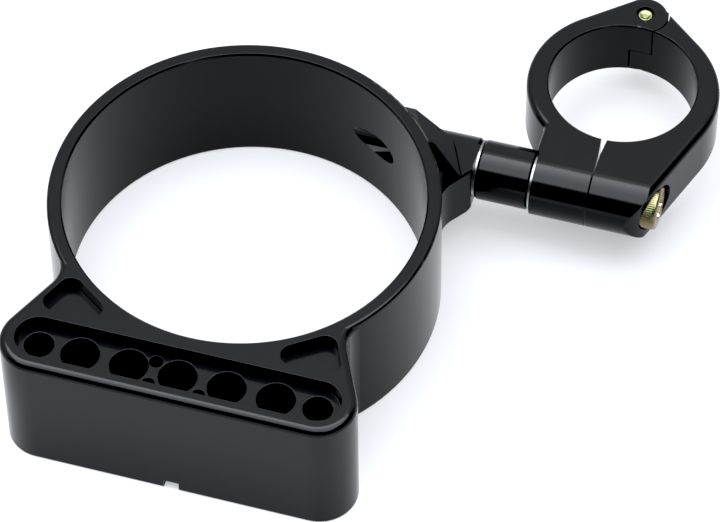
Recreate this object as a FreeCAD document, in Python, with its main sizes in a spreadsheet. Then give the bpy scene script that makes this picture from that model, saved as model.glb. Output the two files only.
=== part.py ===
import FreeCAD, Part
import math
import os
import re
import Sketcher

# Speedometer mount bracket: a billet ring with a lamp tray, bolted through a spacer
# to a hinged fork-tube clamp. Millimetres. The origin is on the gauge bore's axis at the bottom face,
# +Z runs up the bore, +X points along the bolt to the clamp and -Y points to the rider and the lamp tray.

doc = FreeCAD.newDocument("speedometer_bracket")
sheet = doc.addObject("Spreadsheet::Sheet", "sizes")

SIZES = [
    # Gauge ring
    ("gauge_bore_radius", 46.5),
    ("ring_wall", 3.8),
    ("ring_height", 38.6),
    ("ring_edge_round", 0.9),
    ("bore_chamfer", 0.5),
    ("bottom_chamfer", 0.4),
    # Lamp tray in front of the ring
    ("lamp_row_gap", 6.4),
    ("lamp_pitch", 12.7),
    ("lamp_end_pitch", 10.75),
    ("lamp_radius", 4.75),
    ("lamp_end_radius", 3.6),
    ("lamp_chamfer", 0.25),
    ("lamp_web", 6.0),
    ("recess_radius", 6.0),
    ("recess_depth", 3.5),
    ("recess_floor_round", 0.3),
    ("tray_rim", 3.9),
    ("tray_edge_round", 2.0),
    ("tray_side_angle", 64.5),
    ("tray_blend_radius", 8.0),
    ("blend_overlap", 0.02),
    ("wire_room_wall", 3.6),
    ("wire_slot_width", 4.0),
    ("wire_slot_height", 3.0),
    ("screw_hole_radius", 1.75),
    ("screw_hole_side_x", 6.5),
    ("screw_hole_front_offset", 4.0),
    ("screw_hole_back_offset", 2.9),
    # Lightening pockets between the bore and the tray's flanks
    ("pocket_wall", 2.3),
    ("pocket_front_wall", 1.7),
    ("pocket_inner_angle", 35.0),
    ("pocket_corner_round", 3.2),
    ("pocket_depth", 5.0),
    ("pocket_floor_round", 0.4),
    # Bolt boss on the ring
    ("bolt_inset", 10.3),
    ("bolt_drop", 20.0),
    ("boss_reach", 0.8),
    ("boss_radius", 8.0),
    ("boss_front_drop", 7.6),
    ("boss_front_angle", 53.1),
    ("boss_blend_radius", 8.0),
    ("boss_edge_chamfer", 0.6),
    ("boss_end_chamfer", 0.8),
    # Gusset from the ring's top down onto the boss
    ("gusset_drop", 0.4),
    ("gusset_inset", 0.8),
    ("gusset_foot", 6.6),
    ("gusset_step", 0.3),
    ("gusset_turn", 24.6),
    ("gusset_slope", 48.3),
    ("gusset_back_lean", 8.0),
    # Bolt
    ("bolt_radius", 3.95),
    ("bolt_length", 57.15),
    ("bolt_tip_chamfer", 0.8),
    ("thread_clearance", 0.05),
    ("tap_drill_radius", 3.65),
    ("tap_run_out", 0.7),
    ("head_radius", 5.95),
    ("head_height", 7.94),
    ("head_chamfer", 0.5),
    ("socket_flats", 6.35),
    ("socket_depth", 4.2),
    ("head_clearance", 0.4),
    ("ear_hole_clearance", 0.45),
    # Washers and spacer
    ("washer_radius", 7.6),
    ("washer_thickness", 0.75),
    ("spacer_radius", 7.9),
    ("spacer_length", 14.1),
    ("spacer_chamfer", 0.5),
    ("sleeve_clearance", 0.25),
    ("face_clearance", 0.02),
    # Fork clamp
    ("arm_width", 14.98),
    ("arm_seat_depth", 1.2),
    ("arm_seat_radius", 9.0),
    ("clamp_rise", 31.2),
    ("tube_bore_radius", 19.55),
    ("tube_bore_chamfer", 0.4),
    ("clamp_wall", 5.65),
    ("clamp_height", 17.5),
    ("clamp_edge_round", 1.8),
    ("arm_corner_round", 1.5),
    ("ear_gap", 0.4),
    ("bore_gap", 2.0),
    ("gap_taper_rise", 6.0),
    # Clamp jaw
    ("jaw_wall", 6.75),
    ("jaw_shift_x", 0.5),
    ("jaw_shift_y", 1.5),
    ("jaw_facet_angle", 70.6),
    ("jaw_ear_run", 10.4),
    ("jaw_ear_seat", 10.1),
    ("jaw_end_round", 9.0),
    # Hinge
    ("pin_wall", 5.25),
    ("pin_radius", 1.75),
    ("pin_clearance", 0.04),
    ("pin_recess", 0.6),
    ("pin_well_radius", 2.4),
    ("pin_dish_depth", 0.35),
    ("pin_dish_radius", 1.5),
    ("upper_leaf_radius", 6.2),
    ("lower_leaf_radius", 5.8),
    ("leaf_relief", 0.35),
    ("leaf_square_reach", 2.0),
    ("leaf_split_drop", 0.8),
    ("leaf_gap", 0.3),
]
for row, (alias, value) in enumerate(SIZES, start=1):
    sheet.set(f"A{row}", alias.replace("_", " "))
    sheet.set(f"B{row}", str(value))
    sheet.setAlias(f"B{row}", alias)

# Places and radii that follow from the sizes, in an order where each uses only those above it
layout = doc.addObject("App::VarSet", "layout")
LAYOUT = [
    ("ring_outer", "gauge_bore_radius + ring_wall"),
    ("lamp_row_y", "-ring_outer - lamp_row_gap"),
    ("lamp_end_x", "2 * lamp_pitch + lamp_end_pitch"),
    ("tray_end_radius", "recess_radius + tray_rim"),
    ("recess_floor", "ring_height - recess_depth"),
    ("web_bottom", "recess_floor - lamp_web"),
    ("pocket_front_y", "-gauge_bore_radius - pocket_front_wall"),
    ("pocket_floor", "ring_height - pocket_depth"),
    ("bolt_y", "ring_outer - bolt_inset"),
    ("bolt_z", "ring_height - bolt_drop"),
    ("boss_end_x", "ring_outer + boss_reach"),
    ("boss_front_y", "bolt_y - boss_front_drop"),
    ("boss_top", "bolt_z + boss_radius"),
    ("gusset_top", "ring_height - ring_edge_round - gusset_drop"),
    ("gusset_foot_x", "ring_outer + gusset_foot"),
    ("gusset_front_y", "boss_front_y + gusset_inset"),
    ("gusset_back_y", "bolt_y + boss_radius"),
    ("spacer_x", "boss_end_x + washer_thickness"),
    ("outer_washer_x", "spacer_x + spacer_length"),
    ("arm_seat_x", "outer_washer_x + washer_thickness + face_clearance"),
    ("arm_x", "arm_seat_x - arm_seat_depth"),
    ("clamp_x", "arm_seat_x + arm_width"),
    ("clamp_y", "bolt_y + clamp_rise"),
    ("clamp_bottom", "bolt_z - clamp_height / 2"),
    ("clamp_top", "bolt_z + clamp_height / 2"),
    ("clamp_outer", "tube_bore_radius + clamp_wall"),
    ("jaw_outer", "tube_bore_radius + jaw_wall"),
    ("ear_front_y", "bolt_y - clamp_height / 2"),
    ("gap_taper_y", "bolt_y + gap_taper_rise"),
    ("gap_end_y", "clamp_y - tube_bore_radius + bore_gap"),
    ("head_seat_x", "clamp_x + jaw_ear_seat"),
    ("head_x", "head_seat_x + face_clearance"),
    ("bolt_tip_x", "head_x - bolt_length"),
    ("pin_y", "clamp_y + tube_bore_radius + pin_wall"),
    ("split_z", "bolt_z - leaf_split_drop"),
    ("lower_leaf_top", "split_z - leaf_gap"),
]
HOLDERS = {alias: "sizes." for alias, value in SIZES}


def bind(item, target, text):
    """Bind a property or a constraint to a formula written in the sheet's and the layout's names."""
    formula = re.sub(r"[a-z]\w+", lambda word: HOLDERS.get(word[0], "") + word[0], text)
    item.setExpression(target, formula)


for name, text in LAYOUT:
    layout.addProperty("App::PropertyFloat", name)
    bind(layout, name, text)
    HOLDERS[name] = "layout."
doc.recompute()


def size(name):
    """A size's or a place's value, in millimetres or degrees."""
    return float(getattr(layout if HOLDERS[name] == "layout." else sheet, name))


FAR = "200"
TURN = {"z": FreeCAD.Rotation(), "x": FreeCAD.Rotation(FreeCAD.Vector(0, 1, 0), 90)}
ON_BOLT = {"y": "bolt_y", "z": "bolt_z", "along": "x"}


def place(item, x, y, z, along="z"):
    item.Placement = FreeCAD.Placement(FreeCAD.Vector(), TURN[along])
    for axis, text in zip("xyz", (x, y, z)):
        bind(item, f"Placement.Base.{axis}", text)
    return item


def cylinder(name, radius, length, x="0", y="0", z="0", along="z"):
    item = doc.addObject("Part::Cylinder", name)
    bind(item, "Radius", radius)
    bind(item, "Height", length)
    return place(item, x, y, z, along)


def cone(name, start_radius, end_radius, length, x="0", y="0", z="0", along="z"):
    item = doc.addObject("Part::Cone", name)
    bind(item, "Radius1", start_radius)
    bind(item, "Radius2", end_radius)
    bind(item, "Height", length)
    return place(item, x, y, z, along)


def box(name, length, width, height, x, y, z):
    item = doc.addObject("Part::Box", name)
    bind(item, "Length", length)
    bind(item, "Width", width)
    bind(item, "Height", height)
    return place(item, x, y, z)


def fuse(name, shapes):
    item = doc.addObject("Part::MultiFuse", name)
    item.Shapes = shapes
    return item


def cut(name, base, tools):
    item = doc.addObject("Part::Cut", name)
    item.Base = base
    item.Tool = fuse(name + "_tools", tools) if len(tools) > 1 else tools[0]
    return item


def common(name, first, second):
    item = doc.addObject("Part::Common", name)
    item.Base = first
    item.Tool = second
    return item


START, END, CENTRE = 1, 2, 3
ORIGIN = -1, START


class Profile:
    """A body's sketch on one of its origin planes, with its constraints bound to the sheet and the layout."""

    def __init__(self, body, role="XY_Plane", offset="0"):
        plane = next(item for item in body.Origin.OriginFeatures if item.Role == role)
        self.sketch = body.newObject("Sketcher::SketchObject", body.Name + "_sketch")
        self.sketch.AttachmentSupport = (plane, [""])
        self.sketch.MapMode = "FlatFace"
        bind(self.sketch, "AttachmentOffset.Base.z", offset)

    def line(self, start, end):
        return self.sketch.addGeometry(Part.LineSegment(FreeCAD.Vector(*start), FreeCAD.Vector(*end)))

    def circle(self, centre, radius, guide=False):
        circle = Part.Circle(FreeCAD.Vector(*centre), FreeCAD.Vector(0, 0, 1), radius)
        return self.sketch.addGeometry(circle, guide)

    def arc(self, centre, radius, first_degrees, last_degrees):
        circle = Part.Circle(FreeCAD.Vector(*centre), FreeCAD.Vector(0, 0, 1), radius)
        angles = math.radians(first_degrees), math.radians(last_degrees)
        return self.sketch.addGeometry(Part.ArcOfCircle(circle, *angles))

    def rule(self, kind, *where):
        return self.sketch.addConstraint(Sketcher.Constraint(kind, *where))

    def chain(self, *joints):
        """Join the ends of neighbouring pieces, given as piece, end, piece, end and Coincident or Tangent."""
        for first, first_end, second, second_end, kind in joints:
            self.rule(kind, first, first_end, second, second_end)

    def measure(self, kind, where, drawn, text):
        """A dimension that starts at its drawn value and is bound to a formula."""
        index = self.rule(kind, *where, drawn)
        bind(self.sketch, f"Constraints[{index}]", text)

    def at(self, piece, end, x=None, y=None):
        point = self.sketch.getPoint(piece, end)
        if x is not None:
            self.measure("DistanceX", (piece, end), point.x, x)
        if y is not None:
            self.measure("DistanceY", (piece, end), point.y, y)

    def radius(self, piece, text):
        self.measure("Radius", (piece,), self.sketch.Geometry[piece].Radius, text)

    def slope(self, piece, text):
        run = self.sketch.Geometry[piece].EndPoint - self.sketch.Geometry[piece].StartPoint
        self.measure("Angle", (piece,), math.atan2(run.y, run.x), f"({text}) * 1 deg")

    def clear_of(self, point, piece, text):
        """The distance from a point to a line."""
        geometry = self.sketch.Geometry[piece]
        run = (geometry.EndPoint - geometry.StartPoint).normalize()
        reach = geometry.StartPoint - self.sketch.getPoint(*point)
        self.measure("Distance", (*point, piece), abs(run.x * reach.y - run.y * reach.x), text)

    def meet_ring(self, piece, end):
        """End an arc where it touches the ring's outside, a hair inside it so that the two blanks overlap."""
        ring = self.circle((0, 0), size("ring_outer"), guide=True)
        self.rule("Coincident", ring, CENTRE, *ORIGIN)
        self.radius(ring, "ring_outer - blend_overlap")
        self.rule("Tangent", piece, end, ring)


def new_body(label):
    return doc.addObject("PartDesign::Body", label)


def pad(body, profile, length):
    item = body.newObject("PartDesign::Pad", body.Name + "_pad")
    item.Profile = profile.sketch
    bind(item, "Length", length)
    doc.recompute()


def ease(body, kind, wanted, text):
    """Round (Fillet) or bevel (Chamfer) the wanted edges of a body's last feature."""
    last = body.Tip
    names = [f"Edge{number}" for number, edge in enumerate(last.Shape.Edges, start=1) if wanted(edge)]
    item = body.newObject("PartDesign::" + kind, f"{body.Name}_{kind.lower()}")
    item.Base = (last, names)
    bind(item, "Radius" if kind == "Fillet" else "Size", text)
    doc.recompute()


def level_at(*heights):
    """A test for edges that lie level at one of the heights."""
    def lies_at(edge, height):
        return all(abs(vertex.Z - height) < 1e-4 for vertex in edge.Vertexes)

    return lambda edge: any(lies_at(edge, height) for height in heights)


def upright(edge):
    """A test for vertical edges."""
    return len(edge.Vertexes) == 2 and abs(edge.tangentAt(edge.FirstParameter).z) > 0.999


def polar(centre, radius, degrees):
    angle = math.radians(degrees)
    return centre[0] + radius * math.cos(angle), centre[1] + radius * math.sin(angle)


def crossing(first_point, first_degrees, second_point, second_degrees):
    """Where two lines cross, each given by a point and a direction."""
    first = polar((0, 0), 1, first_degrees)
    second = polar((0, 0), 1, second_degrees)
    apart = second_point[0] - first_point[0], second_point[1] - first_point[1]
    reach = (apart[0] * second[1] - apart[1] * second[0]) / (first[0] * second[1] - first[1] * second[0])
    return first_point[0] + reach * first[0], first_point[1] + reach * first[1]


# Ring blank: a turned disc with its rims broken; its bore is cut after the tray and the boss have joined it
def ring_blank():
    body = new_body("ring_blank")
    profile = Profile(body)
    rim = profile.circle((0, 0), size("ring_outer"))
    profile.rule("Coincident", rim, CENTRE, *ORIGIN)
    profile.radius(rim, "ring_outer")
    pad(body, profile, "ring_height")
    ease(body, "Fillet", level_at(size("ring_height")), "ring_edge_round")
    ease(body, "Chamfer", level_at(0), "bottom_chamfer")
    return body


# Tray blank: straight in front, round about the outer lamps, with flanks that sweep back into the ring
def tray_blank():
    body = new_body("tray_blank")
    profile = Profile(body)
    end_x, row_y, end_radius = size("lamp_end_x"), size("lamp_row_y"), size("tray_end_radius")
    blend = size("tray_blend_radius")
    blend_reach = size("ring_outer") + blend - size("blend_overlap")
    front = profile.line((-end_x, row_y - end_radius), (end_x, row_y - end_radius))
    sweeps = []
    for side in (1, -1):
        outward = 90 - side * size("tray_side_angle")
        normal = polar((0, 0), 1, outward)
        reach = normal[0] * side * end_x + normal[1] * row_y + end_radius + blend
        blend_angle = outward - side * math.degrees(math.acos(reach / blend_reach))
        blend_centre = polar((0, 0), blend_reach, blend_angle)
        corner_angles = (-90, outward) if side == 1 else (outward, 270)
        sweep_angles = (blend_angle + 180, outward + 180) if side == 1 else (outward + 180, blend_angle + 180)
        corner = profile.arc((side * end_x, row_y), end_radius, *corner_angles)
        flank_start = polar((side * end_x, row_y), end_radius, outward)
        flank = profile.line(flank_start, polar(blend_centre, -blend, outward))
        sweep = profile.arc(blend_centre, blend, *sweep_angles)
        near, far = (START, END) if side == 1 else (END, START)
        profile.chain(
            (front, far, corner, near, "Tangent"),
            (corner, far, flank, START, "Tangent"),
            (flank, END, sweep, far, "Tangent"),
        )
        profile.at(corner, CENTRE, x=f"{side} * lamp_end_x", y="lamp_row_y")
        profile.radius(corner, "tray_end_radius")
        profile.slope(flank, f"90 + {side} * (90 - tray_side_angle)")
        profile.radius(sweep, "tray_blend_radius")
        profile.meet_ring(sweep, near)
        sweeps.append((sweep, near))
    ring_points = [tuple(profile.sketch.getPoint(*sweep))[:2] for sweep in sweeps]
    chord = profile.line(*ring_points)
    profile.chain((chord, START, *sweeps[0], "Coincident"), (chord, END, *sweeps[1], "Coincident"))
    pad(body, profile, "ring_height")

    def outside_at(height):
        level = level_at(height)
        return lambda edge: level(edge) and edge.CenterOfMass.y < ring_points[0][1] - 0.5

    ease(body, "Fillet", outside_at(size("ring_height")), "tray_edge_round")
    ease(body, "Chamfer", outside_at(0), "bottom_chamfer")
    return body


# Slot along the lamp row, round about the outer lamps
def slot(label, radius, bottom, height):
    body = new_body(label)
    profile = Profile(body, offset=bottom)
    end_x, row_y, drawn_radius = size("lamp_end_x"), size("lamp_row_y"), size("recess_radius")
    right = profile.arc((end_x, row_y), drawn_radius, -90, 90)
    back = profile.line((end_x, row_y + drawn_radius), (-end_x, row_y + drawn_radius))
    left = profile.arc((-end_x, row_y), drawn_radius, 90, 270)
    front = profile.line((-end_x, row_y - drawn_radius), (end_x, row_y - drawn_radius))
    profile.chain(
        (right, END, back, START, "Tangent"),
        (back, END, left, START, "Tangent"),
        (left, END, front, START, "Tangent"),
        (front, END, right, START, "Tangent"),
    )
    for side, end in ((1, right), (-1, left)):
        profile.at(end, CENTRE, x=f"{side} * lamp_end_x", y="lamp_row_y")
        profile.radius(end, radius)
    pad(body, profile, height)
    return body


# Lamp holes through the recess floor, each with a broken rim, and small screw holes between them
def lamp_drills():
    tools = []
    end_step = 3
    for step in range(-end_step, end_step + 1):
        outer = abs(step) == end_step
        radius = "lamp_end_radius" if outer else "lamp_radius"
        x = f"{step // end_step} * lamp_end_x" if outer else f"{step} * lamp_pitch"
        tools.append(cylinder("lamp_hole", radius, "lamp_web * 2",
                              x, "lamp_row_y", "web_bottom - lamp_web / 2"))
        tools.append(cone("lamp_rim", radius, f"{radius} + 2 * lamp_chamfer", "2 * lamp_chamfer",
                          x, "lamp_row_y", "recess_floor - lamp_chamfer"))
    screw_places = [
        ("-screw_hole_side_x", "lamp_row_y + screw_hole_back_offset"),
        ("-screw_hole_side_x", "lamp_row_y - screw_hole_front_offset"),
        ("screw_hole_side_x", "lamp_row_y - screw_hole_front_offset"),
    ]
    for x, y in screw_places:
        tools.append(cylinder("screw_hole", "screw_hole_radius", "lamp_web * 2",
                              x, y, "web_bottom - lamp_web / 2"))
    return tools


# Lightening pocket: a blind triangle that leaves an even wall to the bore and to the tray's flank
def pocket(label, side):
    body = new_body(label)
    profile = Profile(body, offset="pocket_floor")
    wall, front_y = size("pocket_wall"), size("pocket_front_y")
    flank_angle = 90 + side * (90 - size("tray_side_angle"))
    inner_angle = 90 - side * (90 - size("pocket_inner_angle"))
    end_centre = side * size("lamp_end_x"), size("lamp_row_y")
    on_flank = polar(end_centre, size("tray_end_radius") - wall, flank_angle - side * 90)
    on_inner = polar((0, 0), size("gauge_bore_radius") + wall, inner_angle - side * 90)
    inner_corner = crossing((0, front_y), 0, on_inner, inner_angle)
    outer_corner = crossing((0, front_y), 0, on_flank, flank_angle)
    peak = crossing(on_flank, flank_angle, on_inner, inner_angle)
    front = profile.line(inner_corner, outer_corner)
    flank = profile.line(outer_corner, peak)
    inner = profile.line(inner_corner, peak)
    lamp = profile.circle(end_centre, 1, guide=True)
    profile.chain(
        (front, END, flank, START, "Coincident"),
        (front, START, inner, START, "Coincident"),
        (flank, END, inner, END, "Coincident"),
    )
    profile.rule("Horizontal", front)
    profile.radius(lamp, "1")
    profile.at(lamp, CENTRE, x=f"{side} * lamp_end_x", y="lamp_row_y")
    profile.at(front, START, y="pocket_front_y")
    profile.slope(flank, f"90 + {side} * (90 - tray_side_angle)")
    profile.slope(inner, f"90 - {side} * (90 - pocket_inner_angle)")
    profile.clear_of((lamp, CENTRE), flank, "tray_end_radius - pocket_wall")
    profile.clear_of(ORIGIN, inner, "gauge_bore_radius + pocket_wall")
    pad(body, profile, "2 * pocket_depth")
    ease(body, "Fillet", upright, "pocket_corner_round")
    ease(body, "Fillet", level_at(size("pocket_floor")), "pocket_floor_round")
    return body


# Plan that the boss and its gusset share: square at the end, with a front wall that sweeps into the ring
def boss_plan(label, bottom, height, front_y, back_y):
    body = new_body(label)
    profile = Profile(body, offset=bottom)
    blend, angle = size("boss_blend_radius"), size("boss_front_angle")
    top_corner = size("boss_end_x"), size(back_y)
    front_corner = size("boss_end_x"), size(front_y)
    normal = polar((0, 0), 1, angle - 90)
    reach = normal[0] * front_corner[0] + normal[1] * front_corner[1] + blend
    blend_reach = size("ring_outer") + blend - size("blend_overlap")
    blend_angle = angle - 90 + math.degrees(math.acos(reach / blend_reach))
    blend_centre = polar((0, 0), blend_reach, blend_angle)
    root = 0, size(back_y)
    end = profile.line(top_corner, front_corner)
    wall = profile.line(front_corner, polar(blend_centre, -blend, angle - 90))
    sweep = profile.arc(blend_centre, blend, angle + 90, blend_angle + 180)
    inner = profile.line(polar(blend_centre, -blend, blend_angle), root)
    back = profile.line(root, top_corner)
    profile.chain(
        (end, END, wall, START, "Coincident"),
        (wall, END, sweep, START, "Tangent"),
        (sweep, END, inner, START, "Coincident"),
        (inner, END, back, START, "Coincident"),
        (back, END, end, START, "Coincident"),
    )
    profile.rule("Vertical", end)
    profile.rule("Horizontal", back)
    profile.at(end, START, x="boss_end_x", y=back_y)
    profile.at(end, END, y=front_y)
    profile.at(inner, END, x="0")
    profile.slope(wall, "boss_front_angle - 180")
    profile.radius(sweep, "boss_blend_radius")
    profile.meet_ring(sweep, END)
    pad(body, profile, height)
    return body


# Gusset: leans back a little, and slopes from just under the ring's rim down to a small step on the boss
def gusset():
    plan = boss_plan("gusset_plan", "bolt_z", "gusset_top - bolt_z", "gusset_front_y", "gusset_back_y")
    side = new_body("gusset_side")
    profile = Profile(side, role="YZ_Plane")
    middle_y, bottom, top = size("bolt_y"), size("bolt_z"), size("gusset_top")
    lean = math.radians(size("gusset_back_lean"))
    foot = middle_y + (top - bottom) * math.tan(lean), bottom
    base = profile.line((0, bottom), foot)
    back = profile.line(foot, (middle_y, top))
    upper = profile.line((middle_y, top), (0, top))
    front = profile.line((0, top), (0, bottom))
    profile.chain(
        (base, END, back, START, "Coincident"),
        (back, END, upper, START, "Coincident"),
        (upper, END, front, START, "Coincident"),
        (front, END, base, START, "Coincident"),
    )
    profile.rule("Horizontal", base)
    profile.rule("Horizontal", upper)
    profile.rule("Vertical", front)
    profile.at(base, START, x="0", y="bolt_z")
    profile.at(back, END, x="bolt_y", y="gusset_top")
    profile.slope(back, "90 + gusset_back_lean")
    pad(side, profile, "boss_end_x")

    away = new_body("gusset_away")
    profile = Profile(away, role="XZ_Plane", offset="-" + FAR + " / 2")
    reach, low, high = size("gusset_foot_x"), size("boss_top"), size("ring_height")
    far_reach = reach + 3 * size("boss_radius")
    step_top = reach, low + size("gusset_step")
    slope_top = reach - (high - step_top[1]) / math.tan(math.radians(size("gusset_slope"))), high
    step = profile.line((reach, low), step_top)
    slope = profile.line(step_top, slope_top)
    upper = profile.line(slope_top, (far_reach, high))
    outer = profile.line((far_reach, high), (far_reach, low))
    base = profile.line((far_reach, low), (reach, low))
    profile.chain(
        (step, END, slope, START, "Coincident"),
        (slope, END, upper, START, "Coincident"),
        (upper, END, outer, START, "Coincident"),
        (outer, END, base, START, "Coincident"),
        (base, END, step, START, "Coincident"),
    )
    profile.rule("Vertical", step)
    profile.rule("Horizontal", upper)
    profile.rule("Vertical", outer)
    profile.rule("Horizontal", base)
    profile.at(step, START, x="gusset_foot_x", y="boss_top")
    profile.at(step, END, y="boss_top + gusset_step")
    profile.at(outer, START, x="gusset_foot_x + 3 * boss_radius", y="ring_height")
    profile.slope(slope, "180 - gusset_slope")
    pad(away, profile, FAR)
    away.Placement = FreeCAD.Placement(FreeCAD.Vector(), FreeCAD.Rotation(FreeCAD.Vector(0, 0, 1), 1))
    bind(away, "Placement.Rotation.Angle", "gusset_turn * 1 deg")
    return cut("gusset", common("gusset_block", plan, side), [away])


# Gauge ring: one machining of ring, tray, boss and gusset
def gauge_ring():
    boss_front = boss_plan("boss_front", "bolt_z - boss_radius", "2 * boss_radius", "boss_front_y", "bolt_y")
    wall_x, end_x = size("boss_end_x") - 0.5, size("boss_end_x")
    level = level_at(size("boss_top"))
    both_levels = level_at(size("bolt_z") - size("boss_radius"), size("boss_top"))
    ease(boss_front, "Chamfer", lambda edge: level(edge) and edge.CenterOfMass.y < size("boss_front_y")
         and abs(edge.CenterOfMass.x - wall_x) < 3, "boss_edge_chamfer")
    ease(boss_front, "Chamfer", lambda edge: both_levels(edge) and abs(edge.CenterOfMass.x - end_x) < 0.01,
         "boss_end_chamfer")
    boss_back = cylinder("boss_back", "boss_radius", "boss_end_x - boss_end_chamfer", **ON_BOLT)
    boss_end = cone("boss_back_end", "boss_radius", "boss_radius - boss_end_chamfer", "boss_end_chamfer",
                    "boss_end_x - boss_end_chamfer", **ON_BOLT)
    blank = fuse("ring_joined", [ring_blank(), tray_blank(), boss_front, boss_back, boss_end, gusset()])

    recess = slot("recess", "recess_radius", "recess_floor", "2 * recess_depth")
    ease(recess, "Fillet", level_at(size("recess_floor")), "recess_floor_round")
    wire_room = slot("wire_room", "tray_end_radius - wire_room_wall", "-1", "web_bottom + 1")
    wire_slot = box("wire_slot", "wire_slot_width", "tray_end_radius", "2 * wire_slot_height",
                    "-wire_slot_width / 2", "lamp_row_y - tray_end_radius - 1", "-wire_slot_height")
    bore = cylinder("bore", "gauge_bore_radius", "ring_height + 2", z="-1")
    top_bevel = cone("bore_top_bevel", "gauge_bore_radius", "gauge_bore_radius + 2 * bore_chamfer",
                     "2 * bore_chamfer", z="ring_height - bore_chamfer")
    bottom_bevel = cone("bore_bottom_bevel", "gauge_bore_radius + 2 * bottom_chamfer", "gauge_bore_radius",
                        "2 * bottom_chamfer", z="-bottom_chamfer")
    drilled = cylinder("drilled_hole", "tap_drill_radius", "boss_end_x + 1", **ON_BOLT)
    tapped = cylinder("tapped_hole", "bolt_radius + thread_clearance", FAR,
                      "bolt_tip_x - tap_run_out", **ON_BOLT)
    pockets = [pocket("pocket_right", 1), pocket("pocket_left", -1)]
    tools = [recess, wire_room, wire_slot, bore, top_bevel, bottom_bevel, drilled, tapped]
    return cut("gauge_ring", blank, tools + pockets + lamp_drills())


# Washers: plain stamped rings on the bolt
def washer(label, x):
    disc = cylinder(label + "_disc", "washer_radius", "washer_thickness", x, **ON_BOLT)
    hole = cylinder(label + "_hole", "bolt_radius + sleeve_clearance", FAR, "0", **ON_BOLT)
    return cut(label, disc, [hole])


# Spacer: turned sleeve with both outer rims bevelled
def spacer():
    near = cone("spacer_near", "spacer_radius - spacer_chamfer", "spacer_radius", "spacer_chamfer",
                "spacer_x", **ON_BOLT)
    middle = cylinder("spacer_middle", "spacer_radius", "spacer_length - 2 * spacer_chamfer",
                      "spacer_x + spacer_chamfer", **ON_BOLT)
    far = cone("spacer_far", "spacer_radius", "spacer_radius - spacer_chamfer", "spacer_chamfer",
               "outer_washer_x - spacer_chamfer", **ON_BOLT)
    hole = cylinder("spacer_hole", "bolt_radius + sleeve_clearance", FAR, "0", **ON_BOLT)
    return cut("spacer", fuse("spacer_turned", [near, middle, far]), [hole])


# Cuts that both clamp halves share: the fork tube's bore, the half round of the ears and the bolt's hole
def clamp_cuts(label):
    at_tube = {"x": "clamp_x", "y": "clamp_y"}
    wide = "tube_bore_radius + 2 * tube_bore_chamfer"
    bore = cylinder(label + "_bore", "tube_bore_radius", "clamp_height + 2", z="clamp_bottom - 1", **at_tube)
    top = cone(label + "_bore_top", "tube_bore_radius", wide, "2 * tube_bore_chamfer",
               z="clamp_top - tube_bore_chamfer", **at_tube)
    bottom = cone(label + "_bore_bottom", wide, "tube_bore_radius", "2 * tube_bore_chamfer",
                  z="clamp_bottom - tube_bore_chamfer", **at_tube)
    block = box(label + "_block", FAR, "clamp_height", "2 * clamp_height",
                "0", "bolt_y - clamp_height", "bolt_z - clamp_height")
    round_front = cylinder(label + "_round", "clamp_height / 2", FAR, "0", **ON_BOLT)
    hole = cylinder(label + "_bolt_hole", "bolt_radius + ear_hole_clearance", FAR, "0", **ON_BOLT)
    return [bore, top, bottom, cut(label + "_nose", block, [round_front]), hole]


# Hinge leaf: round about the pin, its outer rim eased like the clamp's edges
# and square where it enters the other half
def hinge_leaf(label, side, radius, bottom, height, rim):
    at_pin = {"x": "clamp_x", "y": "pin_y"}
    body = new_body(label)
    profile = Profile(body, offset=bottom)
    edge = profile.circle((size("clamp_x"), size("pin_y")), size("upper_leaf_radius"))
    profile.at(edge, CENTRE, **at_pin)
    profile.radius(edge, radius)
    pad(body, profile, height)
    ease(body, "Fillet", level_at(size(rim)), "clamp_edge_round")
    whole = cylinder(label + "_square", radius, height, z=bottom, **at_pin)
    quarter = box(label + "_quarter", radius, f"{radius} + leaf_square_reach", height,
                  f"clamp_x + ({side} - 1) / 2 * {radius}", f"pin_y - {radius}", bottom)
    return [body, common(label + "_end", whole, quarter)]


def touch_angle(big_radius, small_radius, run):
    """How far from the line between two rounds' centres a line touches both rounds."""
    return math.degrees(math.acos((big_radius - small_radius) / run))


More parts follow.
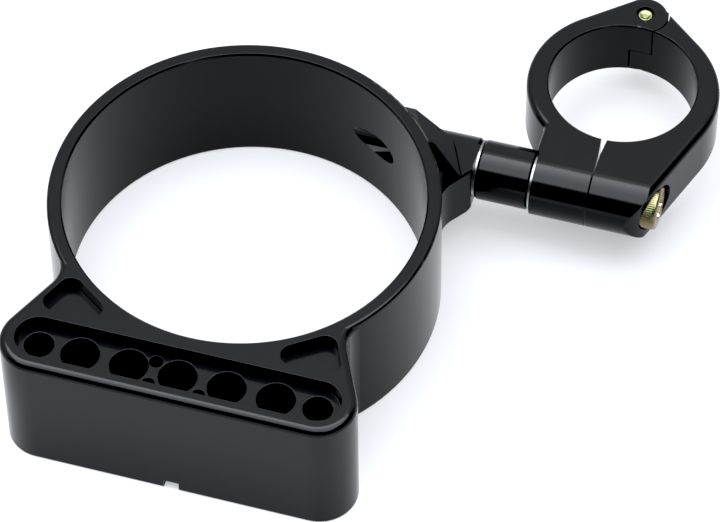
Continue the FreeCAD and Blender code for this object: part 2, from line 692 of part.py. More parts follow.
# Clamp body: fixed half, plain ear in front and upper hinge leaf at the back
def clamp_body():
    body = new_body("clamp_body_blank")
    profile = Profile(body, offset="clamp_bottom")
    tube, pin = (size("clamp_x"), size("clamp_y")), (size("clamp_x"), size("pin_y"))
    outer, leaf = size("clamp_outer"), size("upper_leaf_radius")
    arm_x, ear_y = size("arm_x"), size("ear_front_y")
    ear_x, bore_x = tube[0] - size("ear_gap") / 2, tube[0] - size("bore_gap") / 2
    touch = 90 + touch_angle(outer, leaf, pin[1] - tube[1])
    leaf_angle = math.degrees(math.acos((bore_x - pin[0]) / leaf))
    arm_angle = 360 - math.degrees(math.acos((arm_x - tube[0]) / outer))
    arm_top = polar(tube, outer, arm_angle)
    ear = profile.line((arm_x, ear_y), (ear_x, ear_y))
    gap = profile.line((ear_x, ear_y), (ear_x, size("gap_taper_y")))
    taper = profile.line((ear_x, size("gap_taper_y")), (bore_x, size("gap_end_y")))
    inner = profile.line((bore_x, size("gap_end_y")), polar(pin, leaf, leaf_angle))
    knuckle = profile.arc(pin, leaf, leaf_angle, touch)
    shoulder = profile.line(polar(pin, leaf, touch), polar(tube, outer, touch))
    back = profile.arc(tube, outer, touch, arm_angle)
    arm = profile.line(arm_top, (arm_x, ear_y))
    profile.chain(
        (ear, END, gap, START, "Coincident"),
        (gap, END, taper, START, "Coincident"),
        (taper, END, inner, START, "Coincident"),
        (inner, END, knuckle, START, "Coincident"),
        (knuckle, END, shoulder, START, "Tangent"),
        (shoulder, END, back, START, "Tangent"),
        (back, END, arm, START, "Coincident"),
        (arm, END, ear, START, "Coincident"),
    )
    profile.rule("Horizontal", ear)
    for line in (gap, inner, arm):
        profile.rule("Vertical", line)
    profile.at(ear, START, x="arm_x", y="ear_front_y")
    profile.at(gap, END, x="clamp_x - ear_gap / 2", y="gap_taper_y")
    profile.at(taper, END, x="clamp_x - bore_gap / 2", y="gap_end_y")
    profile.at(knuckle, CENTRE, x="clamp_x", y="pin_y")
    profile.radius(knuckle, "upper_leaf_radius")
    profile.at(back, CENTRE, x="clamp_x", y="clamp_y")
    profile.radius(back, "clamp_outer")
    pad(body, profile, "clamp_height")
    ease(body, "Fillet", lambda edge: upright(edge) and abs(edge.CenterOfMass.y - arm_top[1]) < 0.01,
         "arm_corner_round")
    level = level_at(size("clamp_bottom"), size("clamp_top"))
    ease(body, "Fillet", lambda edge: level(edge) and edge.CenterOfMass.x < bore_x - 1
         and edge.CenterOfMass.y > size("bolt_y") + 4, "clamp_edge_round")

    at_pin = {"x": "clamp_x", "y": "pin_y"}
    leaf = hinge_leaf("upper_leaf", 1, "upper_leaf_radius", "split_z", "clamp_top - split_z", "clamp_top")
    relief = cylinder("lower_relief", "lower_leaf_radius + leaf_relief", "split_z - clamp_bottom + 1",
                      z="clamp_bottom - 1", **at_pin)
    pin_hole = cylinder("upper_pin_hole", "pin_radius + pin_clearance / 2", FAR, z="0", **at_pin)
    pin_well = cylinder("pin_well", "pin_well_radius", FAR, z="clamp_top - 2 * pin_recess", **at_pin)
    seat = cylinder("arm_seat", "arm_seat_radius", "arm_seat_x", "0", **ON_BOLT)
    joined = fuse("clamp_body_joined", [body, *leaf])
    return cut("clamp_body", joined, clamp_cuts("body") + [relief, pin_hole, pin_well, seat])


# Clamp jaw: hinged half, counterbored ear with a slanted outer face and lower hinge leaf
def clamp_jaw():
    body = new_body("clamp_jaw_blank")
    profile = Profile(body, offset="clamp_bottom")
    tube, pin = (size("clamp_x"), size("clamp_y")), (size("clamp_x"), size("pin_y"))
    centre = tube[0] - size("jaw_shift_x"), tube[1] - size("jaw_shift_y")
    outer, leaf = size("jaw_outer"), size("lower_leaf_radius")
    ear_y, facet_angle = size("ear_front_y"), size("jaw_facet_angle")
    ear_x, bore_x = tube[0] + size("ear_gap") / 2, tube[0] + size("bore_gap") / 2
    run = pin[0] - centre[0], pin[1] - centre[1]
    touch = math.degrees(math.atan2(run[1], run[0])) - touch_angle(outer, leaf, math.hypot(*run))
    leaf_angle = math.degrees(math.acos((bore_x - pin[0]) / leaf))
    ear_corner = tube[0] + size("jaw_ear_run"), ear_y
    facet_top = polar(centre, outer, facet_angle - 90)
    end_radius = size("jaw_end_round")
    outward, onward = polar((0, 0), 1, facet_angle - 90), polar((0, 0), 1, facet_angle)
    corner = ear_corner[0] - centre[0], ear_corner[1] - centre[1]
    depth = outer - end_radius - corner[0] * outward[0] - corner[1] * outward[1]
    rise = corner[0] * onward[0] + corner[1] * onward[1] + math.sqrt(end_radius ** 2 - depth ** 2)
    end_centre = [centre[i] + (outer - end_radius) * outward[i] + rise * onward[i] for i in range(2)]
    corner_angle = math.degrees(math.atan2(ear_corner[1] - end_centre[1], ear_corner[0] - end_centre[0]))
    facet_end = polar(end_centre, end_radius, facet_angle - 90)
    ear = profile.line((ear_x, ear_y), ear_corner)
    gap = profile.line((ear_x, ear_y), (ear_x, size("gap_taper_y")))
    taper = profile.line((ear_x, size("gap_taper_y")), (bore_x, size("gap_end_y")))
    inner = profile.line((bore_x, size("gap_end_y")), polar(pin, leaf, leaf_angle))
    knuckle = profile.arc(pin, leaf, touch, leaf_angle)
    shoulder = profile.line(polar(pin, leaf, touch), polar(centre, outer, touch))
    back = profile.arc(centre, outer, facet_angle - 90, touch)
    facet = profile.line(facet_top, facet_end)
    end = profile.arc(end_centre, end_radius, corner_angle, facet_angle - 90)
    profile.chain(
        (ear, START, gap, START, "Coincident"),
        (gap, END, taper, START, "Coincident"),
        (taper, END, inner, START, "Coincident"),
        (inner, END, knuckle, END, "Coincident"),
        (knuckle, START, shoulder, START, "Tangent"),
        (shoulder, END, back, END, "Tangent"),
        (back, START, facet, START, "Tangent"),
        (facet, END, end, END, "Tangent"),
        (end, START, ear, END, "Coincident"),
    )
    profile.rule("Horizontal", ear)
    profile.rule("Vertical", gap)
    profile.rule("Vertical", inner)
    profile.at(ear, START, x="clamp_x + ear_gap / 2", y="ear_front_y")
    profile.at(ear, END, x="clamp_x + jaw_ear_run")
    profile.at(gap, END, y="gap_taper_y")
    profile.at(taper, END, x="clamp_x + bore_gap / 2", y="gap_end_y")
    profile.at(knuckle, CENTRE, x="clamp_x", y="pin_y")
    profile.radius(knuckle, "lower_leaf_radius")
    profile.at(back, CENTRE, x="clamp_x - jaw_shift_x", y="clamp_y - jaw_shift_y")
    profile.radius(back, "jaw_outer")
    profile.slope(facet, "jaw_facet_angle - 180")
    profile.radius(end, "jaw_end_round")
    pad(body, profile, "clamp_height")
    level = level_at(size("clamp_bottom"), size("clamp_top"))
    ease(body, "Fillet", lambda edge: level(edge) and edge.CenterOfMass.x > bore_x + 4, "clamp_edge_round")

    at_pin = {"x": "clamp_x", "y": "pin_y"}
    leaf = hinge_leaf("lower_leaf", -1, "lower_leaf_radius", "clamp_bottom", "lower_leaf_top - clamp_bottom",
                      "clamp_bottom")
    relief = cylinder("upper_relief", "upper_leaf_radius + leaf_relief", FAR, z="lower_leaf_top", **at_pin)
    pin_hole = cylinder("lower_pin_hole", "pin_radius + pin_clearance", FAR, z="0", **at_pin)
    counterbore = cylinder("counterbore", "head_radius + head_clearance", FAR, "head_seat_x", **ON_BOLT)
    joined = fuse("clamp_jaw_joined", [body, *leaf])
    return cut("clamp_jaw", joined, clamp_cuts("jaw") + [relief, pin_hole, counterbore])


# Hinge pin: plain pin a little below both faces, its upper end dished
def hinge_pin():
    at_pin = {"x": "clamp_x", "y": "pin_y"}
    shank = cylinder("pin_shank", "pin_radius", "clamp_height - 2 * pin_recess",
                     z="clamp_bottom + pin_recess", **at_pin)
    dish = cone("pin_dish", "pin_dish_radius / 2", "pin_dish_radius", "pin_dish_depth",
                z="clamp_top - pin_recess - pin_dish_depth", **at_pin)
    return cut("hinge_pin", shank, [dish])


# Clamp bolt: socket head cap screw, its head in the jaw's counterbore and its end in the boss
def clamp_bolt():
    tip = cone("bolt_tip", "bolt_radius - bolt_tip_chamfer", "bolt_radius", "bolt_tip_chamfer",
               "bolt_tip_x", **ON_BOLT)
    shank = cylinder("bolt_shank", "bolt_radius", "bolt_length - bolt_tip_chamfer",
                     "bolt_tip_x + bolt_tip_chamfer", **ON_BOLT)
    head = cylinder("bolt_head", "head_radius", "head_height - head_chamfer", "head_x", **ON_BOLT)
    crown = cone("bolt_crown", "head_radius", "head_radius - head_chamfer", "head_chamfer",
                 "head_x + head_height - head_chamfer", **ON_BOLT)
    socket = doc.addObject("Part::Prism", "bolt_socket")
    socket.Polygon = 6
    bind(socket, "Circumradius", "socket_flats / sqrt(3)")
    bind(socket, "Height", "2 * socket_depth")
    place(socket, "head_x + head_height - socket_depth", **ON_BOLT)
    return cut("clamp_bolt", fuse("bolt_turned", [tip, shank, head, crown]), [socket])


nodes = {
    "gauge_ring": gauge_ring(),
    "inner_washer": washer("inner_washer", "boss_end_x"),
    "spacer": spacer(),
    "outer_washer": washer("outer_washer", "outer_washer_x"),
    "clamp_body": clamp_body(),
    "clamp_jaw": clamp_jaw(),
    "hinge_pin": hinge_pin(),
    "clamp_bolt": clamp_bolt(),
}
doc.recompute()

for item in doc.Objects:
    if "Invalid" in item.State or "Error" in item.State:
        raise RuntimeError(f"{item.Label} did not build: {item.State}")

os.makedirs("parts", exist_ok=True)
for label, item in nodes.items():
    item.Label = label
    shape = item.Shape
    if shape.isNull() or not shape.isValid() or len(shape.Solids) != 1:
        raise RuntimeError(f"{label} is not one sound solid")
    shape.exportStep(f"parts/{label}.step")
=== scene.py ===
import math

import bpy
from mathutils import Matrix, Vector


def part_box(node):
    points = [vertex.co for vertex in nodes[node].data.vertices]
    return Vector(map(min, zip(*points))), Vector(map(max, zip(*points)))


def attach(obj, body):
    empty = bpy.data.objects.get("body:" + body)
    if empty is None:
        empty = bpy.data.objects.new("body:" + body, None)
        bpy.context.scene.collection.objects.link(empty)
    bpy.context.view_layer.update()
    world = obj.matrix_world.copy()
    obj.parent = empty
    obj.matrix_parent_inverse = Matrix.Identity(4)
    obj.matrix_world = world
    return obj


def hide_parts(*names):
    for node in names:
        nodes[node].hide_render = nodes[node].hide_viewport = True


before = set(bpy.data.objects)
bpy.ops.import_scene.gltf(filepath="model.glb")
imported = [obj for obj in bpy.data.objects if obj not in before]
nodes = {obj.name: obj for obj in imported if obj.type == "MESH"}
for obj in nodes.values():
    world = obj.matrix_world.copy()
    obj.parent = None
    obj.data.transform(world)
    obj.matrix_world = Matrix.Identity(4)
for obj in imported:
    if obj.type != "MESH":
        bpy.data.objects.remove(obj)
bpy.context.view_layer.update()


# Gauge ring: one billet of aluminium, with the lamp tray, the bolt boss and its gusset milled from it.
# Black anodised after machining, so the tool's fine lines still show under an even, glossy black.
# The bore is turned and a little rougher and the gusset is duller still. Painted highlights lighten the edges
# and the gusset, and painted shade makes the lamp holes, the recess's foot and the corner by the gusset matt
# black.
class Wire:
    """A node's socket that takes part in arithmetic, so that shader maths reads as maths."""

    def __init__(self, tree, socket=None):
        self.tree = tree
        self.socket = socket

    def node(self, kind, settings=None, inputs=None, output=0):
        """Add a node: its settings first, then its inputs by name or number, as values or wires."""
        node = self.tree.nodes.new(kind)
        for name, value in (settings or {}).items():
            setattr(node, name, value)
        for key, value in (inputs or {}).items():
            if isinstance(value, Wire):
                self.tree.links.new(value.socket, node.inputs[key])
            else:
                node.inputs[key].default_value = value
        return Wire(self.tree, node.outputs[output] if node.outputs else None)

    def math(self, operation, *others):
        """A Math node with this wire as its first value."""
        return self.node("ShaderNodeMath", {"operation": operation}, dict(enumerate((self, *others))))

    def __add__(self, other):
        return self.math("ADD", other)

    __radd__ = __add__

    def __mul__(self, other):
        return self.math("MULTIPLY", other)

    __rmul__ = __mul__

    def __sub__(self, other):
        return self.math("SUBTRACT", other)

    def __rsub__(self, other):
        return self * -1.0 + other

    def above(self, low):
        """1 above a value and 0 below it."""
        return self.math("GREATER_THAN", low)

    def below(self, high):
        """1 below a value and 0 above it."""
        return self.math("LESS_THAN", high)

    def vector(self, operation, *others, output="Vector"):
        """A Vector Math node with this wire as its first vector."""
        inputs = dict(enumerate((self, *others)))
        return self.node("ShaderNodeVectorMath", {"operation": operation}, inputs, output)

    def along(self, axis):
        """How far these coordinates lie along an axis."""
        return self.vector("DOT_PRODUCT", axis, output="Value")

    def noise(self, scale, detail=2.0):
        """A noise from 0 to 1 over these coordinates, with scale in features a metre."""
        return self.node("ShaderNodeTexNoise", inputs={"Vector": self, "Scale": scale, "Detail": detail})

    def ramp(self, low, high):
        """0 below low, 1 above high and smooth between."""
        return self.node("ShaderNodeMapRange", {"interpolation_type": "SMOOTHSTEP"},
                         {"Value": self, "From Min": low, "From Max": high})

    def blend(self, first, second):
        """One colour where this wire is 0 and another where it is 1."""
        return self.node("ShaderNodeMix", {"data_type": "RGBA"}, {"Factor": self, "A": first, "B": second}, 2)

    def bump(self, depth, normal=None):
        """A normal that follows this wire as a height, over another normal where one is given."""
        inputs = {"Strength": 1.0, "Distance": depth, "Height": self}
        if normal:
            inputs["Normal"] = normal
        return self.node("ShaderNodeBump", inputs=inputs)


def start_material(name):
    """A new, empty material and a wire of its object coordinates."""
    material = bpy.data.materials.new(name)
    material.use_nodes = True
    material.node_tree.nodes.clear()
    return material, Wire(material.node_tree).node("ShaderNodeTexCoord", output="Object")


def principled(place, **inputs):
    """A Principled shader with its inputs as values or wires; Base_Color stands for Base Color."""
    spaced = {name.replace("_", " "): value for name, value in inputs.items()}
    return place.node("ShaderNodeBsdfPrincipled", inputs=spaced)


def show(shader):
    """Make a shader what its material shows."""
    shader.node("ShaderNodeOutputMaterial", inputs={"Surface": shader})


def soft_edges(place, radius):
    """The normal with edges rounded over a radius, and how much of an edge each point is."""
    faint, full = 0.01, 0.2
    rounded = place.node("ShaderNodeBevel", {"samples": 6}, {"Radius": radius})
    turned_away = 1 - rounded.along(place.node("ShaderNodeNewGeometry", output="Normal"))
    return rounded, turned_away.ramp(faint, full)


def from_axis(place, centre, axis):
    """Distance from an axis and the way along it."""
    shifted = place.vector("SUBTRACT", centre)
    return shifted.vector("CROSS_PRODUCT", axis).vector("LENGTH", output="Value"), shifted.along(axis)


x_axis = (1, 0, 0)
y_axis = (0, 1, 0)
z_axis = (0, 0, 1)

edge_round = 0.0002
tool_pitch = 0.00025
tool_depth = 1.0e-6
tool_wander = 4.0
wander_scale = 260.0
milled_lines = 0.4
turned_lines = 0.8
patch_scale = 90.0
grain_scale = 9000.0
grain_height = 0.6
bore_blur = 0.0001

deep_dye = (0.0010, 0.0011, 0.0012, 1)
thin_dye = (0.0017, 0.0018, 0.0019, 1)
# Painted light and shade: a lighter dye for painted highlights, a matt dye for painted shade and the
# highlight's share.
painted_light_dye = (0.007, 0.007, 0.008, 1)
painted_shade_dye = (0.0015, 0.0015, 0.0018, 1)
painted_light_share = 0.5
gloss_roughness = 0.09
uneven_roughness = 0.04
bore_roughness = 0.08
dull_roughness = 0.55
dye_refraction = 1.22


def anodised(name, centre, axis, bore_radius, dull_and_lit_places=None, painted_shade_places=None):
    """Black anodised aluminium with the fine lines of a tool that went round one axis and a turned bore, with
    painted highlights on its edges and dull places and painted shade in its matt places.
    """
    material, place = start_material(name)
    rounded, edge = soft_edges(place, edge_round)
    patches = place.noise(patch_scale)
    grain = place.noise(grain_scale, detail=1.0)
    radius, along = from_axis(place, centre, axis)
    bore = 1 - radius.ramp(bore_radius, bore_radius + bore_blur)
    wander = place.noise(wander_scale) * tool_wander
    lines = ((radius + along) * (math.tau / tool_pitch) + wander).math("SINE")
    height = lines * (milled_lines + bore * turned_lines) + grain * grain_height
    # Painted highlight: the edges take a lighter dye.
    painted_light = edge * painted_light_share
    roughness = gloss_roughness + (patches + grain) * uneven_roughness + bore * bore_roughness
    if dull_and_lit_places:
        dull_and_painted = dull_and_lit_places(place)
        # Painted light: the dull places take the lighter dye too.
        painted_light = painted_light.math("MAXIMUM", dull_and_painted * painted_light_share)
        roughness = roughness + dull_and_painted * dull_roughness
    colour = painted_light.blend(patches.blend(deep_dye, thin_dye), painted_light_dye)
    bump = height.bump(tool_depth, rounded)
    shader = principled(place, Base_Color=colour, Roughness=roughness, Normal=bump, IOR=dye_refraction)
    if painted_shade_places:
        # Painted shade: these places are a dull matt black.
        shade_black = place.node("ShaderNodeBsdfDiffuse", inputs={"Color": painted_shade_dye})
        shader = place.node("ShaderNodeMixShader", inputs={0: painted_shade_places(place), 1: shader, 2: shade_black})
    show(shader)
    return material


lamp_row_y = -0.0567
lamp_end_x = 0.03615
wire_room_reach = 0.0092
recess_floor = 0.0351
recess_foot = 0.00035
recess_foot_start = 0.000002
lamp_bevel = 0.00026


def lamp_row(place):
    """1 where painted shade goes: in the lamp holes below their bevels, in the wire room under them and along
    the recess's foot.
    """
    across = place.along(y_axis) - lamp_row_y
    past_end = (place.along(x_axis).math("ABSOLUTE") - lamp_end_x).math("MAXIMUM", 0.0)
    inside = (across * across + past_end * past_end).below(wire_room_reach ** 2)
    height = place.along(z_axis) - recess_floor
    foot = height.above(recess_foot_start) * height.below(recess_foot)
    return inside * (height.below(-lamp_bevel) + foot)


ring_centre = (0, 0, 0)
ring_bore = 0.04655
gusset_reach = 0.0505
gusset_front = 0.02
gusset_bottom = 0.0268


def gusset(place):
    """1 on the gusset over the boss."""
    outside = from_axis(place, ring_centre, z_axis)[0].above(gusset_reach)
    raised = place.along(z_axis).above(gusset_bottom)
    return outside * raised * place.along(y_axis).above(gusset_front)


# Painted shade in the corner by the gusset, over the rim's rounded edge as well.
rim_reach = 0.0497
corner_bottom = 0.0262
corner_blur = 0.0006
corner_side = (0.447, 0.894, 0)
corner_side_reach = 0.0482
corner_top = (0, 0.79, 0.61)
corner_top_reach = 0.0469
corner_front = 0.021
corner_front_fade = 0.006
# A line of painted shade along the gusset's foot, where the form has no groove.
foot_shade_side = (0.909, 0.416, 0)
foot_shade_start = 0.0569
foot_shade_end = 0.0573
foot_shade_back = 0.0415
foot_shade_back_fade = 0.003


def gusset_corner(place):
    """1 where painted shade goes: in the corner of the ring's rim, the boss and the gusset's front, and as a
    line along the gusset's foot.
    """
    outside = from_axis(place, ring_centre, z_axis)[0].above(rim_reach)
    raised = place.along(z_axis).above(corner_bottom)
    beside = place.along(corner_side).ramp(corner_side_reach - corner_blur, corner_side_reach + corner_blur)
    over = place.along(corner_top).ramp(corner_top_reach - corner_blur, corner_top_reach + corner_blur)
    corner = (1 - beside) * (1 - over)
    outward = place.along(foot_shade_side)
    behind = place.along(y_axis)
    foot_shade_line = outward.above(foot_shade_start) * outward.below(foot_shade_end)
    foot_shade_line = foot_shade_line * (1 - behind.ramp(foot_shade_back - foot_shade_back_fade, foot_shade_back))
    fade = behind.ramp(corner_front, corner_front + corner_front_fade)
    right = place.along(x_axis).above(0.0)
    return outside * raised * right * corner.math("MAXIMUM", foot_shade_line) * fade


def ring_painted_shade(place):
    """1 where the ring is painted matt black as shade."""
    return lamp_row(place) + gusset_corner(place)


def dress(node, material):
    """Give a solid of the frame one material."""
    nodes[node].data.materials.clear()
    nodes[node].data.materials.append(material)


ring_black = anodised("anodised_ring", ring_centre, z_axis, ring_bore, gusset, ring_painted_shade)
dress("gauge_ring", ring_black)


# Pocket floors: the two lightening pockets are milled in the ring's billet to the depth of the lamp recess.
# Each floor is a triangle between the bore's wall, the tray's flank and the front of the pocket.
def add_piece(name, points, faces, material, body, crease_degrees=35):
    """A mesh piece with smooth faces and sharp creases that rides on a body and takes a material."""
    mesh = bpy.data.meshes.new(name)
    mesh.from_pydata(points, [], faces)
    mesh.polygons.foreach_set("use_smooth", [True] * len(mesh.polygons))
    mesh.set_sharp_from_angle(angle=math.radians(crease_degrees))
    mesh.materials.append(material)
    piece = bpy.data.objects.new(name, mesh)
    bpy.context.scene.collection.objects.link(piece)
    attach(piece, body)
    return piece


def crossing(first, second):
    """Where two lines meet, each given by its normal's angle and its distance from the middle of the bore."""
    (angle_a, reach_a), (angle_b, reach_b) = first, second
    turn = math.sin(angle_b - angle_a)
    x = (reach_a * math.sin(angle_b) - reach_b * math.sin(angle_a)) / turn
    y = (reach_b * math.cos(angle_a) - reach_a * math.cos(angle_b)) / turn
    return x, y


pocket_bed = 0.0334
pocket_bore_reach = 0.0488
pocket_front_reach = 0.0482
into_wall = 0.00005
bore_side = math.radians(-55), pocket_bore_reach + into_wall
front_side = math.radians(-90), pocket_front_reach + into_wall
flank_angle = math.radians(25.5)
flank_gap = 0.0076
flank_reach = lamp_end_x * math.cos(flank_angle) + lamp_row_y * math.sin(flank_angle) + flank_gap
flank_side = flank_angle, flank_reach + into_wall
pocket_corners = [
    crossing(bore_side, front_side),
    crossing(front_side, flank_side),
    crossing(flank_side, bore_side),
]
prism_faces = [(2, 1, 0), (3, 4, 5), (0, 1, 4, 3), (1, 2, 5, 4), (2, 0, 3, 5)]
for hand, side in (("right", 1), ("left", -1)):
    outline = [(side * x, y) for x, y in pocket_corners][::side]
    points = [(x, y, z) for z in (pocket_bed, recess_floor) for x, y in outline]
    add_piece(f"pocket_floor_{hand}", points, prism_faces, ring_black, "gauge")


# Washers: two plain stamped steel washers on the bolt, bright zinc plated, one each side of the spacer.
# Their thin rims are all that shows: a painted reflection makes them warm above and cold below, and painted
# shade darkens them towards their flat faces, where the stamped edges are also rougher.
bolt_y = 0.040
bolt_z = 0.0186
bolt_line = (0.0, bolt_y, bolt_z)

plating_pitch = 0.00025
plating_depth = 1.5e-6
# Painted reflection colours, warm above and cold below, and a painted shade for the faces by the stamped
# edges.
reflection_above_deep = (0.15, 0.145, 0.135, 1)
reflection_above_pale = (0.19, 0.185, 0.175, 1)
reflection_below_deep = (0.42, 0.56, 0.64, 1)
reflection_below_pale = (0.52, 0.66, 0.74, 1)
painted_face_shade = (0.012, 0.012, 0.013, 1)
reflection_fade = 0.003
cloud_scale = 500.0
dull_and_shaded_start = 0.32
dull_and_shaded_full = 0.42
bright_roughness = 0.2
cloud_roughness = 0.1
stamped_roughness = 0.3


def bright_steel(name, centre, axis, thickness):
    """Bright plating with a painted reflection, warm above and cold below, on a rim that is rougher by its
    stamped edges and darkened there with painted shade.
    """
    material, place = start_material(name)
    radius, along = from_axis(place, centre, axis)
    lines = ((radius + along) * (math.tau / plating_pitch)).math("SINE")
    cloud = place.noise(cloud_scale)
    # Painted reflection: warm above the bolt's axis, cold below it.
    low = (centre[2] - place.along(z_axis)).ramp(-reflection_fade, reflection_fade)
    painted_reflection = low.blend(cloud.blend(reflection_above_deep, reflection_above_pale), cloud.blend(reflection_below_deep, reflection_below_pale))
    # Painted shade towards the flat faces, which are rougher too.
    dull_and_painted = along.math("ABSOLUTE").ramp(thickness * dull_and_shaded_start, thickness * dull_and_shaded_full)
    roughness = bright_roughness + cloud * cloud_roughness + dull_and_painted * stamped_roughness
    show(principled(place, Base_Color=dull_and_painted.blend(painted_reflection, painted_face_shade), Metallic=1.0, Roughness=roughness,
                    Normal=(lines + cloud).bump(plating_depth)))
    return material


for washer in ("inner_washer", "outer_washer"):
    low_corner, high_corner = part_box(washer)
    middle = ((low_corner[0] + high_corner[0]) / 2, bolt_y, bolt_z)
    dress(washer, bright_steel(washer + "_steel", middle, x_axis, high_corner[0] - low_corner[0]))


# Spacer: a short turned sleeve on the bolt, black anodised like the ring, with both rims bevelled.
# It sets the clamp off from the ring.
no_bore = 0.0
dress("spacer", anodised("anodised_spacer", bolt_line, x_axis, no_bore))


# Fork clamp: two milled halves of black anodised aluminium, hinged behind the tube.
# The bolt draws them together. Their tops are faced round the tube's bore, and the bore is turned.
tube_centre = (0.0817, 0.0712, 0.0186)
tube_bore = 0.0196
clamp_black = anodised("anodised_clamp", tube_centre, z_axis, tube_bore)
for half in ("clamp_body", "clamp_jaw"):
    dress(half, clamp_black)


# Hinge pin: steel, yellow zinc plated and passivated, pressed in a little below the clamp's faces.
# The passivation drifts from gold to green.
zinc_edge_round = 0.00015
zinc_depth = 2.0e-6
zinc_roughness = 0.24
film_roughness = 0.14
film_scale = 900.0
film_start = 0.3
film_full = 0.7
drift_scale = 320.0
drift_start = 0.5
drift_full = 0.7
end_start = 0.6
end_full = 0.9
under_start = -0.001
under_full = 0.0025
rose_share = 0.8
socket_gold = (0.30, 0.31, 0.10, 1)
socket_start = 0.0031
socket_end = 0.0035


def yellow_zinc(name, gold_pale, gold_deep, leaf_green, rose):
    """Plating that drifts from gold to green, and to rose on edges, on a bolt's end and underneath it."""
    material, place = start_material(name)
    rounded, edge = soft_edges(place, zinc_edge_round)
    film = place.noise(film_scale, detail=3.0)
    gold = film.ramp(film_start, film_full).blend(gold_deep, gold_pale)
    green = place.noise(drift_scale).ramp(drift_start, drift_full).blend(gold, leaf_green)
    under = (bolt_z - place.along(z_axis)).ramp(under_start, under_full)
    facing = place.node("ShaderNodeNewGeometry", output="Normal").along(x_axis)
    end_face = facing.ramp(end_start, end_full)
    tinted = (edge + (under + end_face) * rose_share).math("MINIMUM", 1.0)
    socket = 1 - from_axis(place, bolt_line, x_axis)[0].ramp(socket_start, socket_end)
    colour = socket.blend(tinted.blend(green, rose), socket_gold)
    roughness = zinc_roughness + film * film_roughness
    show(principled(place, Base_Color=colour, Metallic=1.0, Roughness=roughness,
                    Normal=film.bump(zinc_depth, rounded)))
    return material


pin_zinc = yellow_zinc(
    "pin_zinc",
    gold_pale=(0.24, 0.26, 0.11, 1),
    gold_deep=(0.17, 0.19, 0.075, 1),
    leaf_green=(0.10, 0.17, 0.075, 1),
    rose=(0.42, 0.42, 0.24, 1),
)
dress("hinge_pin", pin_zinc)


# Bolt: a 5/16 inch socket head cap screw, 2 1/4 inches long, yellow zinc plated, with its shank painted near
# black as shade.
# Its head is knurled on its side, bevelled round its end and has a hexagon socket.
# Its tip is threaded, and it holds the clamp, the spacer and the washers to the ring's boss.
def band(rows, count):
    """Faces between rows of points that each go once round, with count points a row."""
    faces = []
    for row in range(rows - 1):
        low = row * count
        high = low + count
        for step in range(count):
            after = (step + 1) % count
            faces.append((low + step, low + after, high + after, high + step))
    return faces


def on_bolt(x, radius, angle):
    """A point at a radius and an angle round the bolt."""
    return x, bolt_y + radius * math.cos(angle), bolt_z + radius * math.sin(angle)


bolt_low, bolt_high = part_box("clamp_bolt")
tip_x = bolt_low[0]
end_x = bolt_high[0]
head_height = 0.00794
head_radius = 0.00595
shank_radius = 0.00395
seat_x = end_x - head_height
knurls = 64
knurl_points = 4
knurl_depth = 0.00013
head_count = knurls * knurl_points
socket_apothem = 0.003175
socket_depth = 0.0042
socket_bevel = 0.0003
socket_drill = 0.0006
socket_rim_width = 0.0001
drill_point = 0.0002
bare_radius = head_radius - knurl_depth
seat_radius = head_radius - 0.0004
seat_bevel = 0.0003
knurl_start = 0.0006
knurl_end = 0.0013
knurl_runout = 0.0010
end_bevel = 0.0005
end_bevel_radius = head_radius - 0.0005
end_round = 0.0001
end_radius = head_radius - 0.0007


def plain(radius):
    """A round row."""
    return lambda step, angle: radius


def knurled(step, angle):
    """The head's side, where two points in four are pressed in."""
    return bare_radius if step % knurl_points in (0, 1) else head_radius


def hexagon(step, angle):
    """The wall of the hexagon socket."""
    corner = math.pi / 6
    return socket_apothem / math.cos((angle + corner) % (2 * corner) - corner)


def socket_rim(step, angle):
    """The rim of the socket's bevel."""
    return max(hexagon(step, angle), socket_apothem + socket_bevel) + socket_rim_width


head_rows = [
    (seat_x, plain(shank_radius)),
    (seat_x, plain(seat_radius)),
    (seat_x + seat_bevel, plain(bare_radius)),
    (seat_x + knurl_start, knurled),
    (end_x - knurl_end, knurled),
    (end_x - knurl_runout, plain(bare_radius)),
    (end_x - end_bevel, plain(bare_radius)),
    (end_x - end_round, plain(end_bevel_radius)),
    (end_x, plain(end_radius)),
    (end_x, socket_rim),
    (end_x - socket_bevel, hexagon),
    (end_x - socket_depth, hexagon),
    (end_x - socket_depth - socket_drill, plain(drill_point)),
]
bolt_points = []
for x, reach in head_rows:
    for step in range(head_count):
        angle = math.tau * step / head_count
        bolt_points.append(on_bolt(x, reach(step, angle), angle))
bolt_faces = band(len(head_rows), head_count)
bolt_faces.append(tuple(range((len(head_rows) - 1) * head_count, len(head_rows) * head_count)))
head_faces = len(bolt_faces)

shank_start = len(bolt_points)
shank_count = 96
threaded = 0.0165
thread_pitch = 0.00141
thread_depth = 0.0006
thread_flank = 2.4
rows_a_pitch = 6
thread_step = thread_pitch / rows_a_pitch
thread_rows = int(threaded / thread_pitch * rows_a_pitch)
thread_x = tip_x + 0.0005
runout_x = thread_x + thread_rows * thread_step + 0.0002
tip_bevel = 0.0004
tip_radius = shank_radius - 0.0009
uncut = 0.0
shank_rows = [(tip_x, tip_radius, uncut), (tip_x + tip_bevel, shank_radius - thread_depth, uncut)]
shank_rows += [(thread_x + row * thread_step, shank_radius, thread_depth) for row in range(thread_rows)]
shank_rows += [(runout_x, shank_radius, uncut), (seat_x, shank_radius, uncut)]
for x, radius, cut in shank_rows:
    for step in range(shank_count):
        turn = (x / thread_pitch - step / shank_count) % 1.0
        depth = cut * max(0.0, 1.0 - thread_flank * min(turn, 1.0 - turn))
        bolt_points.append(on_bolt(x, radius - depth, math.tau * step / shank_count))
for face in band(len(shank_rows), shank_count):
    bolt_faces.append(tuple(shank_start + index for index in face))
bolt_faces.append(tuple(shank_start + step for step in reversed(range(shank_count))))

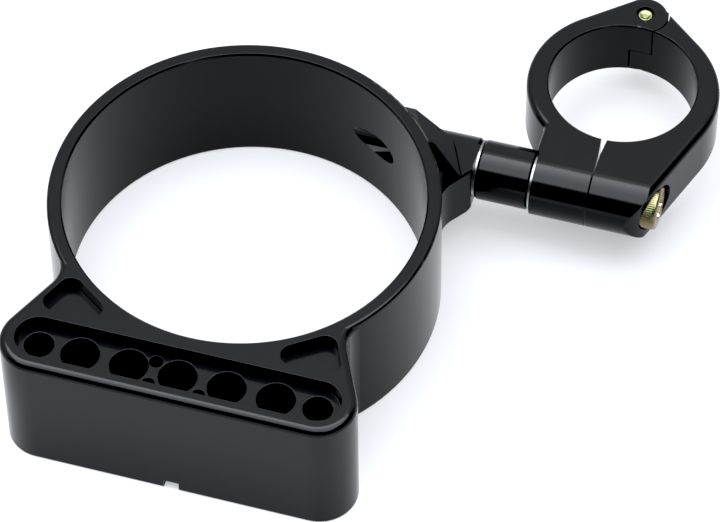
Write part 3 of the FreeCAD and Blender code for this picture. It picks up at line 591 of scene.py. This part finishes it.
head_zinc = yellow_zinc(
    "head_zinc",
    gold_pale=(0.135, 0.125, 0.06, 1),
    gold_deep=(0.10, 0.088, 0.038, 1),
    leaf_green=(0.085, 0.10, 0.042, 1),
    rose=(0.30, 0.21, 0.165, 1),
)
bolt = add_piece("cap_screw", bolt_points, bolt_faces, head_zinc, "bolt", crease_degrees=40)
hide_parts("clamp_bolt")
# Painted shade: the shank, seen between the clamp's ears, is coloured near black.
painted_shade_dark = (0.006, 0.005, 0.003, 1)
bolt.data.materials.append(yellow_zinc("shaded_shank_zinc", painted_shade_dark, painted_shade_dark, painted_shade_dark, painted_shade_dark))
for face in bolt.data.polygons[head_faces:]:
    face.material_index = 1


# Stage: a floor of pale paper that glows evenly, with painted shade that makes it a little darker behind the
# bracket, to its left and far away from it, leaving a painted pool of light round the bracket.
# A grey sky stands behind the bracket, and two soft boxes hang over it.
# The near side is dark, which gives the rounded edges their black bands.
floor_reach = 6.0
floor_level = -0.0001
floor_signs = ((-1, -1), (1, -1), (1, 1), (-1, 1))
floor_corners = [(x * floor_reach, y * floor_reach, floor_level) for x, y in floor_signs]
floor_mesh = bpy.data.meshes.new("floor")
floor_mesh.from_pydata(floor_corners, [], [(0, 1, 2, 3)])
floor = bpy.data.objects.new("floor", floor_mesh)
bpy.context.scene.collection.objects.link(floor)

front_paper = (0.30, 0.30, 0.30, 1)
# Darker papers for painted shade.
shaded_rear_paper = (0.165, 0.165, 0.165, 1)
shaded_far_paper = (0.10, 0.10, 0.10, 1)
paper_glow = (0.44, 0.45, 0.46, 1)
paper_roughness = 0.9
paper_mottle = 0.05
mottle_scale = 3.0
under_bracket = (0.02, -0.02, 0.0)
near_reach = 0.15
far_reach = 0.7
front_end_y = -0.085
rear_start_y = -0.035
left_start_x = -0.045
left_full_x = -0.07
paper_material, paper_place = start_material("floor_paper")
# Painted shade: darker paper behind the bracket, to its left and far from it, round a painted pool of light.
rear_shade = paper_place.along(y_axis).ramp(front_end_y, rear_start_y)
left = paper_place.along((-1, 0, 0)).ramp(-left_start_x, -left_full_x)
rear_shade = rear_shade.math("MAXIMUM", left)
far_shade = paper_place.vector("DISTANCE", under_bracket, output="Value").ramp(near_reach, far_reach)
far_shade = far_shade * (1 - paper_mottle) + paper_place.noise(mottle_scale) * paper_mottle
paper = far_shade.blend(rear_shade.blend(front_paper, shaded_rear_paper), shaded_far_paper)
show(principled(paper_place, Base_Color=paper, Roughness=paper_roughness, Emission_Color=paper_glow,
                Emission_Strength=1.0))
floor.data.materials.append(paper_material)

world = bpy.data.worlds.new("studio")
bpy.context.scene.world = world
world.use_nodes = True
direction = Wire(world.node_tree).node("ShaderNodeTexCoord", output="Generated")
away = (-0.6, 1, 0)
low_glow = 0.9
raised_glow = 1.1
top_glow = 4.4
near_glow = 0.02
behind = direction.along(away).ramp(-0.1, 0.4)
raised = direction.along(z_axis).ramp(0.15, 0.75)
overhead = direction.along(z_axis).ramp(0.76, 0.95)
glow = behind * (low_glow + raised * raised_glow + overhead * top_glow) + near_glow
sky = world.node_tree.nodes["Background"]
sky.inputs["Color"].default_value = (0.98, 1.0, 1.03, 1)
world.node_tree.links.new(glow.socket, sky.inputs["Strength"])

box_height = 1.2
box_width = 2.0
box_colour = (0.95, 0.98, 1.07)


def soft_box(name, y, depth, radiance):
    """An area light over the bracket that shines straight down."""
    light = bpy.data.lights.new(name, "AREA")
    light.shape = "RECTANGLE"
    light.size = box_width
    light.size_y = depth
    light.energy = radiance * math.pi * box_width * depth
    light.color = box_colour
    lamp = bpy.data.objects.new(name, light)
    lamp.location = (0.0, y, box_height)
    bpy.context.scene.collection.objects.link(lamp)


soft_box("back_box", y=0.14, depth=0.78, radiance=10.4)
soft_box("front_box", y=-0.49, depth=0.88, radiance=8.8)

# Camera: a long lens above the tray's side, a little to the right and turned a touch about its own axis.
# Its tones are plain, with the deepest blacks taken down a little.
camera_data = bpy.data.cameras.new("camera")
camera_data.sensor_width = 36.0
camera_data.lens = 223.36
camera_data.clip_end = 20.0
camera = bpy.data.objects.new("camera", camera_data)
azimuth = math.radians(16.658)
elevation = math.radians(52.529)
roll = math.radians(-0.685)
stand = Matrix.Translation((0.22988, -0.66643, 0.92922))
lean = Matrix.Rotation(math.pi / 2 - elevation, 4, "X") @ Matrix.Rotation(roll, 4, "Z")
camera.matrix_world = stand @ Matrix.Rotation(azimuth, 4, "Z") @ lean
bpy.context.scene.collection.objects.link(camera)
bpy.context.scene.camera = camera
view = bpy.context.scene.view_settings
view.view_transform = "Standard"
view.use_curve_mapping = True
deepest_black = 0.008
view.curve_mapping.black_level = (deepest_black, deepest_black, deepest_black)
